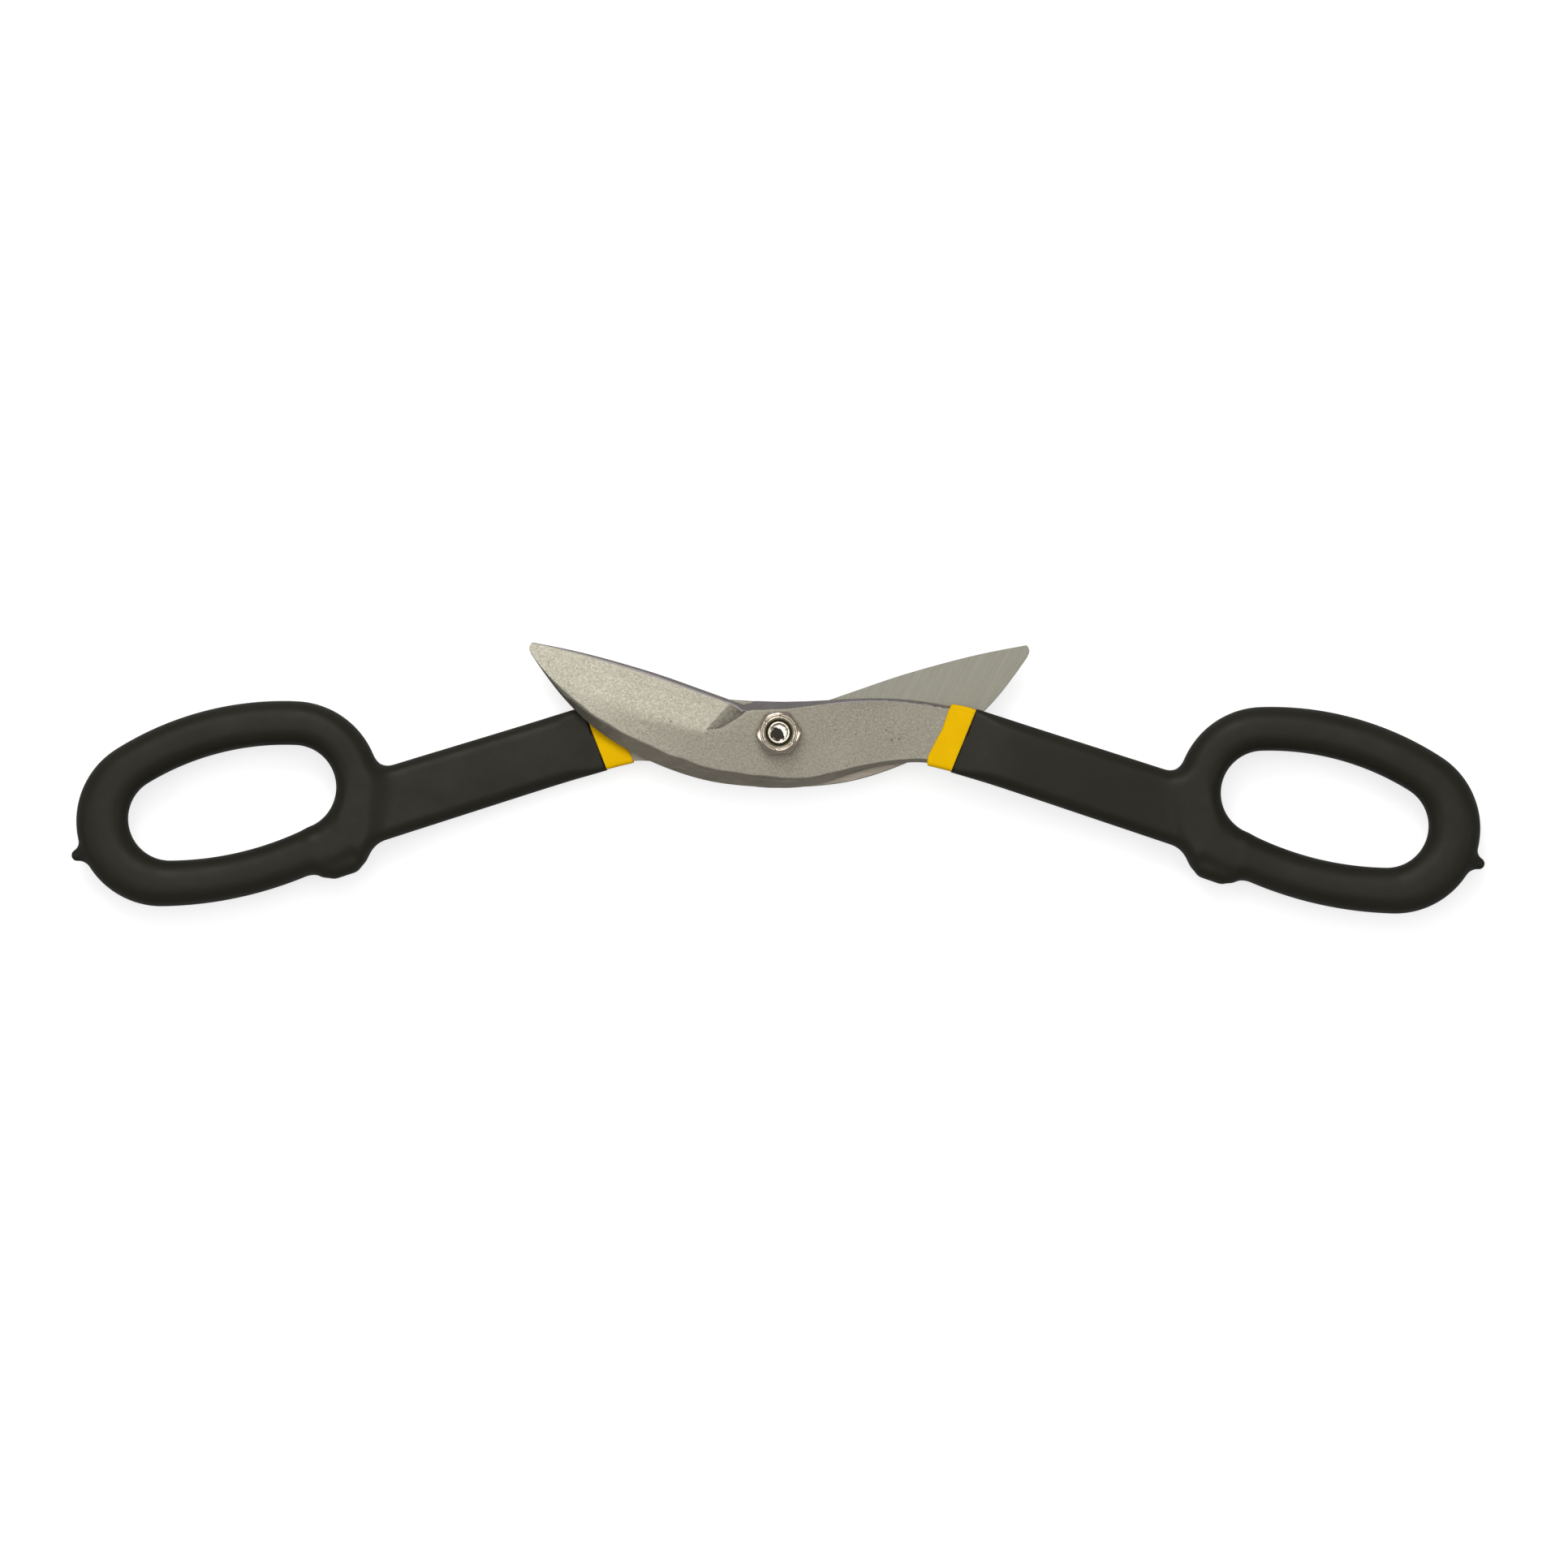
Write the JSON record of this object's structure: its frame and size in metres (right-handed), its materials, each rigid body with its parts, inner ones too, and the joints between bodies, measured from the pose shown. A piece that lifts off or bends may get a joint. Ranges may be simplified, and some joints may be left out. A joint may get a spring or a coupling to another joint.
{
  "type": "tin snips",
  "caption": "Straight-pattern tin snips for sheet metal: two forged halves on one bolt, with closed finger loops dipped in black over yellow vinyl, standing wide open.",
  "frame": {"origin": "centre of the bolt head's outer flat face, on the pivot axis", "axes": "+Z along the pivot bolt from its head to the lock nut; with the snips wide open +Y is the side where both blade tips point and +X is the side of the front half's handle"},
  "size_m": [0.4426, 0.0833, 0.0277],
  "materials": {
    "forged_steel": "sandblasted forging, bare, with ground cutting faces and brushed inner faces",
    "yellow_vinyl": "dipped vinyl, satin gloss",
    "black_vinyl": "dipped soft vinyl, satin",
    "plated_fastener": "bright nickel plating, slightly worn",
    "nylon": "dark nylon"
  },
  "bodies": {
    "front_half": {"front_blade": "forged_steel", "front_undercoat": "yellow_vinyl", "front_grip": "black_vinyl", "pivot_bolt": "plated_fastener", "lock_nut": "plated_fastener", "nylon_ring": "nylon"},
    "rear_half": {"rear_blade": "forged_steel", "rear_undercoat": "yellow_vinyl", "rear_grip": "black_vinyl"}
  },
  "joints": [
    {"name": "pivot", "type": "hinge", "parent": "front_half", "child": "rear_half", "pos_m": [0, 0, 0.0123], "axis": [0, 0, 1], "range_deg": [0, 142.7]}
  ]
}
